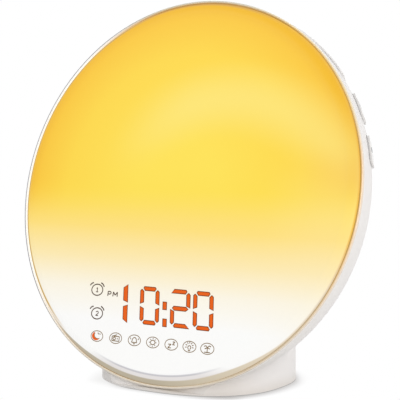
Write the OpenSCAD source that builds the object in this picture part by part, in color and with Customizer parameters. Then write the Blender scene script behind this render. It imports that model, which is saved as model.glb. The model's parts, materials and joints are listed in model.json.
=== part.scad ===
// Sunrise alarm clock: a round lamp face on a moulded foot, with the clock display in its lower third.
// Millimetres, +Z up. The origin is on the table, under the middle of the clock.
// The face looks along -Y and leans back. Pieces of the face are drawn in face coordinates:
// x to the right, y up along the face, z out of the face, with 0 at the seam of the lens.

/* [Face] */
// Radius of the lens at its seam with the bezel ring
lens_r = 84; // [80:0.5:90]
// Lean of the face back from upright, in degrees
lean = 14.25; // [10:0.25:18]
// Wall of the lens
lens_wall = 2; // [1.6:0.1:2.6]
// Rise of the lens from its rolled shoulder to its middle
lens_crown = 1.8; // [1:0.1:2.6]
// Width of the rolled shoulder of the lens
shoulder_w = 5; // [4:0.25:7]
// Slope of the shoulder where it meets the bezel ring, in degrees
shoulder_slope = 50; // [40:1:54]
// Width of the bezel ring
bezel_w = 1.2; // [0.8:0.1:2]
// Depth of the bezel ring behind the seam
bezel_depth = 1; // [0.8:0.1:1.4]
// Depth of the lens rim behind the seam
lens_rim_depth = 4.5; // [4:0.1:5]

/* [Housing] */
// Depth of the rounded back behind the seam
shell_depth = 50; // [48:0.5:56]
// Fullness of the rounded back: 2 is an ellipsoid
shell_power = 2.2; // [2:0.05:2.5]
// Wall of the housing
shell_wall = 2.2; // [1.8:0.1:2.6]
// Gap round pieces that fit together without moving
fit_gap = 0.1; // [0.05:0.01:0.2]

/* [Foot] */
// Half the width of the foot
foot_half_w = 42.2; // [40:0.2:46]
// Half the depth of the foot
foot_half_d = 38; // [36:0.5:40]
// Squareness of the foot's outline: 2 is an ellipse
foot_power = 2.4; // [2:0.1:2.8]
// How far the middle of the foot lies behind the middle of the seam
foot_back = 14; // [13:0.5:16]
// Forward lean of the rear wall of the foot, in degrees
heel_lean = 12; // [8:1:14]
// Height of the blend between the foot and the rounded back
blend_h = 13; // [8:0.5:16]
// Width of that blend
blend_w = 11; // [6:0.5:13]
// Edge thickness of the base plate
plate_edge = 0.65; // [0.5:0.05:0.8]
// Thickness of the middle of the base plate
plate_t = 2; // [1.6:0.1:2.4]
// Height that the rubber feet stand proud of the base plate
pad_proud = 0.3; // [0.3:0.05:0.8]
// Radius of a rubber foot
pad_r = 4.5; // [3.5:0.25:5]

/* [Buttons] */
// Distance from the seam back to the front edge of the buttons
button_front = 9; // [8.4:0.1:10]
// Width of the buttons, front to back
button_w = 10; // [9:0.25:11]
// Angle that the snooze bar covers, in degrees
snooze_sweep = 100; // [80:1:104]
// Angles of the side buttons above the middle of the face, in degrees
side_angles = [15.3, 28.9];
// Angle that a side button covers, in degrees
side_sweep = 8.6; // [7.5:0.1:9.6]
// Corner radius of the buttons
button_corner = 2.6; // [1.5:0.1:4]
// Gap round the buttons
button_gap = 0.45; // [0.3:0.05:0.6]
// Height of the buttons above the housing
button_proud = 1; // [0.2:0.05:1.2]
// Travel of the buttons
button_travel = 0.3; // [0.2:0.05:0.4]

/* [Display] */
// Height of one digit
digit_h = 16; // [14:0.5:17]
// Width of one digit
digit_w = 9.8; // [9:0.1:10.4]
// Width of a lit segment
segment_w = 2; // [1.4:0.1:2.4]
// Distance between the middles of neighbouring icons
icon_pitch = 9.45; // [8.6:0.05:10]
// Radius of an icon window
icon_r = 3.4; // [2.8:0.1:3.6]

/* [Power and sound] */
// Radius of the centre pin of the power socket
jack_pin_r = 1; // [0.8:0.05:1.2]
// Radius of the bore of the power socket
jack_bore_r = 2.85; // [2.7:0.05:3]
// Radius of the loudspeaker
speaker_r = 22; // [20:0.5:24]
// Radius of one hole of the speaker grille
grille_hole_r = 0.95; // [0.7:0.05:1.2]
// Distance between the rings of grille holes
grille_pitch = 3.9; // [3.4:0.1:4.2]

/* [Hidden] */
$fn = 64;

housing_white = "#F3F1EC";
lens_yellow = "#FBD46B";
ring_cream = "#F6E9D2";
board_green = "#2E6B4A";
inner_white = "#FAFAF6";
black_plastic = "#2C2C2E";
steel = "#B9BCC0";
rubber_grey = "#6E6E70";
lit_orange = "#E85A14";

// Lens profile: a flat crown that rolls over into a shoulder
crown_edge = lens_r - shoulder_w;
crown_radius = (pow(crown_edge, 2) + pow(lens_crown, 2)) / (2 * lens_crown);
crown_slope = asin(crown_edge / crown_radius);
shoulder_radius = shoulder_w / (sin(shoulder_slope) - sin(crown_slope));
shoulder_h = shoulder_radius * (cos(crown_slope) - cos(shoulder_slope));
crown_centre = [0, shoulder_h + lens_crown - crown_radius];
shoulder_centre = [crown_edge - shoulder_radius * sin(crown_slope),
                   shoulder_h - shoulder_radius * cos(crown_slope)];

// Bezel ring and rounded back. The back is a rounded solid of revolution about the axis of the face, a
// little fuller than half an ellipsoid.
ring_in = lens_r + fit_gap;
rim_r = ring_in + bezel_w;
shell_steps = 26;
// Radius at height z, and height at radius r, of the rounded back grown by o
function shell_r(o, z) = (rim_r + o) * pow(1 - pow(abs(z) / (shell_depth + o), shell_power), 1 / shell_power);
function shell_z(o, r) = -(shell_depth + o) * pow(1 - pow(r / (rim_r + o), shell_power), 1 / shell_power);

part_gap = 0.3;
lens_rim_r = shell_r(-shell_wall, -lens_rim_depth) - part_gap;
lens_rim_in = lens_rim_r - lens_wall;

// Foot and base plate
plate_bottom = pad_proud;
plate_top = plate_bottom + plate_edge;
spigot_top = plate_bottom + plate_t;
ring_clearance = 0.05;
disc_z = plate_top + ring_clearance + rim_r * cos(lean) + bezel_depth * sin(lean);
foot_front = foot_back - foot_half_d;
foot_rear = foot_back + foot_half_d;
shell_dual = shell_power / (shell_power - 1);
shell_rear = pow(pow(shell_depth * cos(lean), shell_dual) + pow(rim_r * sin(lean), shell_dual),
                 1 / shell_dual);
disc_y = -(foot_front + max(foot_rear, shell_rear)) / 2;
foot_y = disc_y + foot_back;
foot_steps = 72;
bends = [90, 74, 58, 43, 29, 16];

// Hollow of the foot. The spigot of the base plate closes it.
foot_wall = 3.2;
cavity_half_w = foot_half_w - foot_wall - 0.4;
cavity_front = disc_y - 10;
cavity_rear = disc_y + foot_rear - foot_wall;
cavity_y = (cavity_front + cavity_rear) / 2;
cavity_half_d = (cavity_rear - cavity_front) / 2;
cavity_top = 38;
spigot_gap = 0.5;
base_boss_r = 3.6;
base_boss_top = 15;
base_boss_in = 5.3;
base_screw_grip = 6;
base_boss_places = [for (x = [-1, 1], y = [-1, 1]) [x * (cavity_half_w - base_boss_in), cavity_y + y * 9]];
pad_places = [for (x = [-1, 1], y = [-1, 1]) [x * 21, cavity_y + y * (cavity_half_d - 10)]];
pad_depth = 1;

// Screws: shank, head radius and head height of the large and the small size
big_screw = [1.3, 2.7, 2];
small_screw = [0.85, 1.75, 1.2];
screw_gap = 0.05;

// Places of the display: the first icon keeps its distance from the edge of the face
icon_x = -32;
icon_edge = 10.2;
icon_y = -sqrt(pow(lens_r - icon_edge, 2) - icon_x * icon_x);
digit_y = icon_y + 15.25;

// Lamp: a dish, with the board of its lamps behind it. Its rim flange stands inside the rim of the lens.
rim_flange_w = 2.6;
rim_flange_out = lens_rim_r - 0.6;
rim_flange_in = rim_flange_out - rim_flange_w;
dish_r = rim_flange_in + fit_gap;
dish_rim_z = -6;
dish_depth = 16;
dish_wall = 1.5;
dish_slope_w = 35.3;
dish_open_r = dish_r - dish_slope_w;
baffle_y = digit_y + 12.8;
baffle_t = 1.2;
baffle_top = 0.3;
board_t = 1.6;
lamp_board_r = dish_open_r + 4;
function dish_z(r) = dish_rim_z - dish_depth * (1 - pow(r / dish_r, 2));
lamp_z = dish_z(dish_open_r) - dish_wall;
led_size = 5;
led_h = 1.6;
led_places = [for (ring = [[20, 8], [dish_open_r - 8, 16]], i = [0:ring[1] - 1])
    let (a = 360 * i / ring[1]) if (ring[0] * sin(a) > baffle_y + 4.5) [ring[0], a]];
lamp_screw_places = [for (a = [20, 90, 160]) (dish_open_r + 2) * [cos(a), sin(a)]];

// Screws through the back, in wells, into bosses behind the dish
well_in = 17.3;
well_places = [for (a = [55, 125, 205, 335]) (dish_r - well_in) * [cos(a), sin(a)]];
well_r = 3.1;
well_wall = 1.3;
well_floor = 1.8;
well_screw_l = 12;
boss_z = -26;
boss_r = 3.4;

// Display in the lower segment of the face
frame_out = rim_flange_in - 2 * fit_gap;
frame_wall = 1.1;
frame_top = baffle_y - fit_gap;
frame_z = -13.5;
frame_floor = 1.5;
display_z = frame_z + frame_floor;
display_front = display_z + board_t;
bay_r = frame_out - frame_wall - fit_gap;
bay_top = frame_top - frame_wall - fit_gap;
display_post_y = digit_y + 6.2;
display_post_x = sqrt(pow(frame_out - 10.2, 2) - pow(display_post_y, 2));
display_posts = [for (x = [-1, 1]) [x * display_post_x, display_post_y]];
display_post_r = 2.6;
display_board_half = display_post_x - 6;
display_screw_l = 8;
mask_t = 0.3;
digit_x = [-6.3, 9.25, 20.6];
one_x = -18.95;
digit_slant = -6;
segment_gap = 0.35;
segment_depth = 1.5;
colon_places = [[1.5, digit_y + 3.6], [1.5, digit_y - 3.6]];
module_left = -22.2;
module_right = 28.2;
module_h = digit_h + 3;
icon_places = [for (i = [0:6]) [icon_x + i * icon_pitch, icon_y]];
alarm_places = [[-34.9, digit_y + 4.7], [-33.8, digit_y - 5.5]];
alarm_r = 3.2;
period_place = [-26.4, digit_y + 3.5];
period_size = [6.4, 3];
well_margin = 0.8;
guide_left = alarm_places[0][0] - alarm_r - 1.7;
guide_right = icon_places[6][0] + icon_r + 0.7;

// Main board, behind the display
main_size = [70, 22];
main_z = -20;
main_post_r = 2.4;
main_posts = [for (x = [-1, 1], y = [-1, 1]) [x * 30, digit_y + y * 7]];

// Loudspeaker, behind a grille in the middle of the back
grille_r = speaker_r - 1;
pocket_r = speaker_r + 0.6;
speaker_boss_r = pocket_r + 3.4;
land_z = shell_z(-shell_wall, pocket_r);
flange_t = 1.2;
gasket_t = 0.8;
speaker_z = land_z + flange_t + gasket_t;
clamp_z = speaker_z + flange_t;
clamp_t = 1.5;
basket_h = 7.3;
basket_r = 11;
magnet_r = 13.5;
magnet_h = 7;
speaker_screw_places = [for (a = [90, 210, 330]) (pocket_r + speaker_boss_r) / 2 * [cos(a), sin(a)]];

// Buttons, and the switches and boards under them. A key frame has y along the way out of a button.
key_z = -18.5;
key_body = 6;
key_body_h = 3.5;
key_bore_r = 1.8;
plunger_gap = 0.06;
plunger_in = 1.5;
key_bore_depth = plunger_in + button_travel + 0.1;
plunger_out = 1.5;
key_board_z = [-27, -15.3];
key_post_z = -24.5;
key_post_r = 2.4;
key_hole = 4.2;
cap_wall = 1.4;
lip_w = 1.3;
lip_out = -shell_wall - part_gap;
lip_in = lip_out - 1.2;
stem_r = 1.6;
button_back = button_front + button_w;
button_mid_r = shell_r(0, -(button_front + button_w / 2));
side_button_w = button_mid_r * side_sweep * PI / 180;
bar_end_w = 10;
bar_end_angle = snooze_sweep / 2 - bar_end_w / 2 / button_mid_r * 180 / PI;
side_mid = (side_angles[0] + side_angles[1]) / 2;
side_key_x = button_mid_r * sin((side_angles[1] - side_angles[0]) / 2);
// Each row of keys: turn from upright, plane of its board, places of its keys and posts, half its length
// Plane of a board of half length l whose rear corners stay clear of the housing
function board_plane(l, clear) = sqrt(pow(shell_r(-shell_wall, key_board_z[0]) - clear, 2) - l * l);
top_keys = [0, board_plane(24, 2.1), 14, 20, 24];
right_keys = [side_mid - 90, board_plane(15, 0.9), side_key_x, 11, 15];
left_keys = [90 - side_mid, board_plane(15, 0.9), side_key_x, 11, 15];

// Power socket and antenna outlet in the heel
jack_x = 0;
jack_z = 13.4;
jack_face = disc_y + foot_rear - 7;
jack_nose = 3.2;
jack_nose_r = 4.1;
jack_size = [9, 14, 8];
jack_drop = 3.8;
jack_bore = 10.3;
jack_pin_back = 0.8;
outlet_x = -15;
outlet_r = 2.9;
outlet_bore_r = 1.2;
outlet_lip = 0.7;
power_t = 1.2;
power_z = jack_z - jack_drop - power_t;
power_y = [disc_y + foot_rear - 24.5, disc_y + foot_rear - 7.4];
power_half_w = 15;
power_posts = [for (x = [-1, 1], y = [power_y[0] + 3.5, power_y[1] - 3.1]) [x * 12, y]];

// Backup cell over a door in the base plate
cell_r = 10;
cell_h = 3.2;
cell_y = cavity_front + 25;
door_half = 10.6;
door_tail = 17.4;
door_t = 1.2;
door_screw_y = cell_y + 14.6;
holder_half = 12;
holder_h = 4.9;
contact_t = 0.3;

// Moves a piece from face coordinates to its place
module on_face() translate([0, disc_y, disc_z]) rotate([90 - lean, 0, 0]) children();

// Moves a piece drawn for the top row of keys to its own row, in face coordinates
module on_row(row) on_face() rotate(row[0]) children();

function tail(list) = [for (i = [1:len(list) - 1]) list[i]];
function arc(c, r, a0, a1, n) = [for (i = [0:n]) let (a = a0 + (a1 - a0) * i / n) c + r * [sin(a), cos(a)]];
function superellipse(half_w, half_d) = [for (i = [0:foot_steps - 1]) let (a = 360 * i / foot_steps)
    [half_w * sign(cos(a)) * pow(abs(cos(a)), 2 / foot_power),
     half_d * sign(sin(a)) * pow(abs(sin(a)), 2 / foot_power)]];

// Screw with its head above z = 0 and its shank below
module screw(size, length) {
    difference() {
        cylinder(r = size[1], h = size[2]);
        for (a = [0, 90]) rotate(a) translate([-size[1] * 0.6, -0.3, size[2] * 0.5])
            cube([size[1] * 1.2, 0.6, size[2]]);
    }
    translate([0, 0, -length]) cylinder(r = size[0], h = length);
}

module screw_hole(size, length) cylinder(r = size[0] + screw_gap, h = length);

// Rectangle with rounded corners, centred
module rounded(w, h, r, n = 8) polygon([for (q = [0:3], i = [0:n]) let (a = 90 * (q + i / n))
    [(w / 2 - r) * (q == 0 || q == 3 ? 1 : -1) + r * cos(a), (h / 2 - r) * (q < 2 ? 1 : -1) + r * sin(a)]]);

// ---- Lens and bezel ring ----

module front_lens() {
    inner_r = shoulder_radius - lens_wall;
    inner_end = asin(max(sin(crown_slope), min(0.95, (lens_rim_in - shoulder_centre[0]) / inner_r)));
    color(lens_yellow) on_face() rotate_extrude() polygon(concat(
        arc(crown_centre, crown_radius, 0, crown_slope, 10),
        tail(arc(shoulder_centre, shoulder_radius, crown_slope, shoulder_slope, 9)),
        [[lens_r, -bezel_depth], [lens_rim_r, -bezel_depth], [lens_rim_r, -lens_rim_depth],
         [lens_rim_in, -lens_rim_depth]],
        arc(shoulder_centre, inner_r, inner_end, crown_slope, 5),
        tail(arc(crown_centre, crown_radius - lens_wall, crown_slope, 0, 8))));
}

module bezel_ring() color(ring_cream) on_face() rotate_extrude() {
    translate([ring_in, -bezel_depth]) square([bezel_w, bezel_depth]);
    translate([ring_in + bezel_w / 2, 0]) circle(r = bezel_w / 2);
}

// ---- Rounded back ----

// The rounded back as a solid, grown by o, from the given depth rearwards
module shell_solid(o, start = bezel_depth) {
    first = asin(pow(start / (shell_depth + o), shell_power / 2));
    rotate_extrude() polygon(concat([[0, -start]], [for (i = [0:shell_steps])
        let (t = first + (90 - first) * i / shell_steps)
        [(rim_r + o) * pow(cos(t), 2 / shell_power), -(shell_depth + o) * pow(sin(t), 2 / shell_power)]]));
}

// The zone of the rounded back that holds the buttons, between the two offsets
module shell_band(o_out, o_in) {
    heights = [for (i = [0:10]) -button_front + 3 - (button_w + 6) * i / 10];
    rotate_extrude() polygon(concat([for (z = heights) [shell_r(o_out, z), z]],
        [for (i = [10:-1:0]) [shell_r(o_in, heights[i]), heights[i]]]));
}

module housing_posts() {
    for (p = well_places) translate([p[0], p[1], boss_z - shell_depth])
        cylinder(r = well_r + well_wall, h = shell_depth);
    for (p = display_posts) translate([p[0], p[1], frame_z - shell_depth])
        cylinder(r = display_post_r, h = shell_depth);
    translate([0, 0, clamp_z - shell_depth]) cylinder(r = speaker_boss_r, h = shell_depth);
    for (row = [top_keys, right_keys, left_keys], x = [-row[3], row[3]]) rotate(row[0])
        translate([x, row[1], key_post_z]) rotate([-90, 0, 0]) cylinder(r = key_post_r, h = 30);
}

module housing_holes() {
    for (p = well_places) translate([p[0], p[1], boss_z - well_floor]) {
        translate([0, 0, -shell_depth]) cylinder(r = well_r, h = shell_depth);
        cylinder(r = big_screw[0] + 0.3, h = well_floor + 1);
    }
    for (p = display_posts) translate([p[0], p[1], frame_z - 8]) screw_hole(big_screw, 9);
    translate([0, 0, land_z]) cylinder(r = pocket_r, h = 12);
    translate([0, 0, -shell_depth - 5]) cylinder(r = grille_r, h = shell_depth + 6 + land_z);
    for (p = speaker_screw_places) translate([p[0], p[1], clamp_z - 4]) screw_hole(small_screw, 5);
    for (row = [top_keys, right_keys, left_keys], x = [-row[3], row[3]]) rotate(row[0])
        translate([x, row[1] - 1, key_post_z]) rotate([-90, 0, 0]) screw_hole(small_screw, key_hole + 1);
    bar_block(button_gap);
    for (a = side_angles, side = [a, 180 - a]) key_block(side, side_button_w, button_gap);
}

// ---- Foot ----

// How far a point lies outside the rounded back: negative inside it
function outside(x, y, z) =
    let (v = y - disc_y, w = z - disc_z, up = v * sin(lean) + w * cos(lean), out = w * sin(lean) - v * cos(lean))
    pow(norm([x, up]) / rim_r, shell_power) + pow(abs(out) / shell_depth, shell_power) - 1;

// Height over the table of the underside of the rounded back, at x, y. The upright line through x, y is
// halved between a height below the back and one inside it.
function inside_z(y) = disc_z + (y - disc_y) * sin(lean) * cos(lean) * (pow(rim_r, 2) - pow(shell_depth, 2))
    / (pow(shell_depth * cos(lean), 2) + pow(rim_r * sin(lean), 2));
function halve(x, y, low, high, tries = 22) = let (z = (low + high) / 2)
    tries == 0 ? z : outside(x, y, z) > 0 ? halve(x, y, z, high, tries - 1) : halve(x, y, low, z, tries - 1);
function under(x, y) = let (z = inside_z(y)) outside(x, y, z) > 0 ? z : halve(x, y, z - 2 * rim_r, z);

// Distance of the foot's wall from its middle, for the direction a, at height z: the heel leans forward
function wall_r(r0, a, z) = r0 - (z - plate_top) * tan(heel_lean) * pow(max(0, sin(a)), 4);

// A point of the blend from the wall to the rounded back. bend falls from 90 at the wall to 0 at the back.
function blend_point(r0, a, bend, h, w, z = 30, tries = 14) =
    let (r = wall_r(r0, a, z) + w * (1 - sin(bend)), p = [r * cos(a), foot_y + r * sin(a)],
         next = under(p[0], p[1]) - h * (1 - cos(bend)))
    tries == 0 ? [p[0], p[1], next] : blend_point(r0, a, bend, h, w, (next + z) / 2, tries - 1);

function at_least(p, z) = [p[0], p[1], max(p[2], z)];

function skin_column(p) =
    let (a = atan2(p[1], p[0]), r0 = norm(p),
         h = min(blend_h, 0.65 * max(0.4, blend_point(r0, a, 90, 0, 0)[2] - plate_top)),
         w = blend_w * h / blend_h * (1 - 0.6 * pow(max(0, sin(a)), 2)))
    concat([[p[0], foot_y + p[1], plate_top]],
           [for (i = [0:len(bends) - 1]) at_least(blend_point(r0, a, bends[i], h, w), plate_top + 0.1 * (i + 1))],
           [at_least(blend_point(r0, a, 4, h, w) + [0, 0, 1.2], plate_top + 0.1 * (len(bends) + 2))]);

// A closed solid through columns of points, with a fan below and a fan above
module loft(columns, low, high) {
    n = len(columns);
    m = len(columns[0]);
    polyhedron(points = concat([for (c = columns) each c], [low, high]), faces = concat(
        [for (i = [0:n - 1], j = [0:m - 2]) let (k = (i + 1) % n)
            each [[i * m + j, i * m + j + 1, k * m + j + 1], [i * m + j, k * m + j + 1, k * m + j]]],
        [for (i = [0:n - 1]) let (k = (i + 1) % n) [n * m, i * m, k * m]],
        [for (i = [0:n - 1]) let (k = (i + 1) % n) [n * m + 1, k * m + m - 1, i * m + m - 1]]));
}

module foot_skin() loft([for (p = superellipse(foot_half_w, foot_half_d)) skin_column(p)],
    [0, foot_y, plate_top], [0, foot_y, disc_z - 20]);

module foot_hollow() difference() {
    loft([for (p = superellipse(cavity_half_w, cavity_half_d))
        [for (z = [-1, cavity_top]) let (a = atan2(p[1], p[0]), r = wall_r(norm(p), a, z))
            [r * cos(a), cavity_y + r * sin(a), z]]], [0, cavity_y, -1], [0, cavity_y, cavity_top]);
    for (p = base_boss_places) translate([p[0], p[1], spigot_top]) {
        cylinder(r = base_boss_r, h = base_boss_top - spigot_top);
        rotate(p[0] > 0 ? 0 : 180) translate([0, -1.2, 0]) cube([base_boss_in + 2, 2.4, base_boss_top - spigot_top]);
    }
}

module rear_housing() color(housing_white) difference() {
    union() {
        on_face() shell_solid(0);
        intersection() {
            foot_skin();
            on_face() translate([-150, -150, -bezel_depth - 150]) cube([300, 300, 150]);
        }
    }
    on_face() difference() {
        shell_solid(-shell_wall, bezel_depth / 2);
        housing_posts();
    }
    on_face() housing_holes();
    foot_hollow();
    for (p = base_boss_places) translate([p[0], p[1], 0]) screw_hole(big_screw, spigot_top + base_screw_grip + 2);
    translate([jack_x, cavity_y, jack_z]) rotate([-90, 0, 0]) cylinder(r = jack_nose_r + fit_gap, h = 60);
    translate([outlet_x, cavity_y, jack_z]) rotate([-90, 0, 0]) cylinder(r = outlet_r, h = 60);
    translate([-100, -100, plate_top - 20]) cube([200, 200, 20]);
}

module base_plate() color(housing_white) difference() {
    union() {
        translate([0, foot_y, plate_bottom]) linear_extrude(plate_edge)
            polygon(superellipse(foot_half_w, foot_half_d));
        translate([0, cavity_y, plate_bottom]) linear_extrude(plate_t)
            polygon(superellipse(cavity_half_w - spigot_gap, cavity_half_d - spigot_gap));
        for (p = power_posts) translate([p[0], p[1], spigot_top - 1]) cylinder(r = 2.3, h = power_z - spigot_top + 1);
        translate([0, door_screw_y, spigot_top - 1]) cylinder(r = 2.2, h = 4);
    }
    for (p = pad_places) translate([p[0], p[1], 0]) cylinder(r = pad_r + screw_gap, h = plate_bottom + pad_depth);
    for (p = base_boss_places) translate([p[0], p[1], 0]) {
        cylinder(r = big_screw[1] + part_gap, h = plate_bottom + 1.1);
        cylinder(r = big_screw[0] + 0.2, h = 5);
    }
    for (p = power_posts) translate([p[0], p[1], power_z - 5]) screw_hole(small_screw, 6);
    translate([0, cell_y, 0]) cylinder(r = cell_r + 0.3, h = 5);
    translate([0, cell_y + (door_tail - door_half) / 2, 0]) linear_extrude(plate_bottom + door_t)
        rounded(2 * (door_half + fit_gap), door_half + door_tail + 2 * fit_gap, 2);
    translate([0, door_screw_y, 0]) screw_hole(small_screw, 4.8);
}

module rubber_feet() color(rubber_grey) for (p = pad_places) translate([p[0], p[1], 0]) {
    cylinder(r1 = pad_r - 0.25, r2 = pad_r, h = 0.25);
    translate([0, 0, 0.25]) cylinder(r = pad_r, h = plate_bottom + pad_depth - 0.25);
}

module base_screws() color(steel) for (p = base_boss_places)
    translate([p[0], p[1], plate_bottom + 1.1]) rotate([180, 0, 0])
        screw([big_screw[0], big_screw[1], 1], spigot_top + base_screw_grip - plate_bottom);

module housing_screws() color(steel) on_face() for (p = well_places)
    translate([p[0], p[1], boss_z - well_floor]) rotate([180, 0, 0]) screw(big_screw, well_screw_l);

// ---- Lamp ----

module reflector() color(inner_white) on_face() {
    steps = 14;
    front = [for (i = [0:steps]) let (r = dish_open_r + (dish_r - dish_open_r) * i / steps) [r, dish_z(r)]];
    back = [for (i = [0:steps - 2]) let (r = dish_r - (dish_r - lamp_board_r) * i / (steps - 2))
        [r, dish_z(r) - dish_wall]];
    difference() {
        union() {
            intersection() {
                union() {
                    rotate_extrude() polygon(concat(front,
                        [[dish_r, dish_rim_z + 0.8], [dish_r + 1, dish_rim_z + 0.8], [dish_r + 1, dish_rim_z - 0.6]],
                        back, [[lamp_board_r + 0.2, lamp_z], [dish_open_r, lamp_z]]));
                    for (p = well_places) translate([p[0], p[1], boss_z])
                        cylinder(r = boss_r, h = dish_z(norm(p)) - dish_wall / 2 - boss_z);
                }
                translate([-100, baffle_y, -50]) cube([200, 200, 60]);
            }
            rotate_extrude() translate([rim_flange_in, dish_rim_z])
                square([rim_flange_out - rim_flange_in, -lens_rim_depth - dish_rim_z]);
            intersection() {
                translate([-100, baffle_y, lamp_z]) cube([200, baffle_t, baffle_top - lamp_z]);
                translate([0, 0, lamp_z])
                    cylinder(r1 = rim_flange_in - 4.7, r2 = rim_flange_in - fit_gap, h = baffle_top - lamp_z);
            }
        }
        for (p = well_places) translate([p[0], p[1], boss_z - 1]) screw_hole(big_screw, 11.6);
        for (p = lamp_screw_places) translate([p[0], p[1], lamp_z - 1]) screw_hole(small_screw, 2.4);
    }
}

module lamp_board() color(board_green) on_face() difference() {
    translate([0, 0, lamp_z - board_t]) linear_extrude(board_t) difference() {
        circle(r = lamp_board_r);
        translate([-100, baffle_y - 100]) square([200, 100]);
    }
    for (p = lamp_screw_places) translate([p[0], p[1], lamp_z - 5]) screw_hole(small_screw, 6);
}

module lamp_leds() color("#FFF3C4") on_face() for (p = led_places) rotate(p[1])
    translate([p[0] - led_size / 2, -led_size / 2, lamp_z]) cube([led_size, led_size, led_h]);

module lamp_screws() color(steel) on_face() for (p = lamp_screw_places)
    translate([p[0], p[1], lamp_z - board_t]) rotate([180, 0, 0]) screw(small_screw, board_t + 1.3);

// ---- Display ----

// The lower segment of a disc: radius r, straight edge at y = top
module segment(r, top) difference() {
    circle(r = r);
    translate([-100, top]) square([200, 200]);
}

module display_frame() color(black_plastic) on_face() difference() {
    union() {
        translate([0, 0, frame_z]) linear_extrude(-frame_z) segment(frame_out, frame_top);
        for (p = main_posts) translate([p[0], p[1], main_z]) cylinder(r = main_post_r, h = frame_z - main_z + 0.5);
    }
    translate([0, 0, display_z]) linear_extrude(20) segment(frame_out - frame_wall, frame_top - frame_wall);
    for (p = display_posts) translate([p[0], p[1], frame_z - 1]) cylinder(r = big_screw[0] + 0.2, h = 5);
    for (p = main_posts) translate([p[0], p[1], main_z - 1]) screw_hole(small_screw, 6);
}

module display_board() color(board_green) on_face() translate([0, 0, display_z]) linear_extrude(board_t)
    intersection() {
        segment(bay_r - 1.5, bay_top - 0.3);
        translate([-display_board_half, -100]) square([2 * display_board_half, 100]);
    }

// Outline of one lit segment about c: l long, w wide, with mitred ends
function bar_points(c, l, w, upright) = [for (p = [[-l / 2, 0], [-(l - w) / 2, w / 2], [(l - w) / 2, w / 2],
    [l / 2, 0], [(l - w) / 2, -w / 2], [-(l - w) / 2, -w / 2]]) c + (upright ? [-p[1], p[0]] : p)];

// Outlines of all segments of the display, grown by g
function all_segments(g) =
    let (dx = (digit_w - segment_w) / 2, dy = (digit_h - segment_w) / 2, w = segment_w + 2 * g,
         lx = 2 * dx - segment_gap + 2 * g, ly = dy - segment_gap + 2 * g)
    concat([for (x = digit_x, y = [-dy, 0, dy]) bar_points([x, y], lx, w, false)],
           [for (x = digit_x, sx = [-dx, dx], y = [-dy, dy]) bar_points([x + sx, y / 2], ly, w, true)],
           [for (y = [-dy, dy]) bar_points([one_x, y / 2], ly, w, true)]);

module segment_solids(g, z, h) translate([0, digit_y, z]) linear_extrude(h) {
    for (s = all_segments(g)) polygon([for (p = s) [p[0] + p[1] * tan(digit_slant), p[1]]]);
    for (p = colon_places) translate([p[0] - (p[1] - digit_y) * 0.1, p[1] - digit_y])
        square([segment_w + 2 * g, 1.6 * segment_w + 2 * g], center = true);
}

module digit_module() color(black_plastic) on_face() difference() {
    translate([module_left, digit_y - module_h / 2, display_front])
        cube([module_right - module_left, module_h, -display_front]);
    segment_solids(0.05, -segment_depth, segment_depth + 1);
}

module digit_segments() color(lit_orange) on_face() segment_solids(0, -segment_depth, segment_depth);

// Windows of the icons and labels, with wells of the same shape behind them
module icon_windows(r_icon, r_alarm) {
    for (p = icon_places) translate(p) circle(r = r_icon);
    for (p = alarm_places) translate(p) circle(r = r_alarm);
    translate(period_place) square(period_size, center = true);
}

module icon_guide() color(inner_white) on_face() difference() {
    translate([0, 0, display_front]) linear_extrude(-display_front) intersection() {
        circle(r = bay_r - 0.1);
        union() {
            translate([guide_left, icon_y - icon_r - 0.4]) square([guide_right - guide_left, 2 * icon_r + 0.8]);
            translate([guide_left, icon_y])
                square([module_left - fit_gap - guide_left, digit_y + module_h / 2 - icon_y]);
        }
    }
    translate([0, 0, display_front - 1]) linear_extrude(20) icon_windows(icon_r - well_margin, alarm_r - 0.3);
}

module icon_leds() color("#FFF3C4") on_face() for (p = concat(icon_places, alarm_places, [period_place]))
    translate([p[0] - 1.5, p[1] - 1, display_front]) cube([3, 2, 1.2]);

module face_mask() color(black_plastic) on_face() linear_extrude(mask_t) difference() {
    segment(frame_out - 0.4, frame_top);
    icon_windows(icon_r - well_margin, alarm_r - 0.3);
    translate([module_left + 1, digit_y - digit_h / 2 - 0.6]) square([module_right - module_left - 2, digit_h + 1.2]);
}

module display_screws() color(steel) on_face() for (p = display_posts)
    translate([p[0], p[1], display_z]) screw(big_screw, display_screw_l);

// ---- Main board ----

module main_board() color(board_green) on_face() difference() {
    translate([-main_size[0] / 2, digit_y - main_size[1] / 2, main_z - board_t])
        cube([main_size[0], main_size[1], board_t]);
    for (p = main_posts) translate([p[0], p[1], main_z - 5]) screw_hole(small_screw, 6);
}

module main_chips() color(black_plastic) on_face() translate([0, digit_y, main_z - board_t]) {
    for (c = [[-14, 1, 12, 12, 1.8], [2, -4, 8, 5, 1.5], [14, 3, 6, 6, 1.5], [3, 5.5, 9, 4.5, 4.5]])
        translate([c[0] - c[2] / 2, c[1] - c[3] / 2, -c[4]]) cube([c[2], c[3], c[4]]);
    translate([22, -4, -7]) cylinder(r = 3, h = 7);
}

module board_screws() color(steel) on_face() for (p = main_posts)
    translate([p[0], p[1], main_z - board_t]) rotate([180, 0, 0]) screw(small_screw, board_t + 4.5);

// ---- Loudspeaker ----

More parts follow.
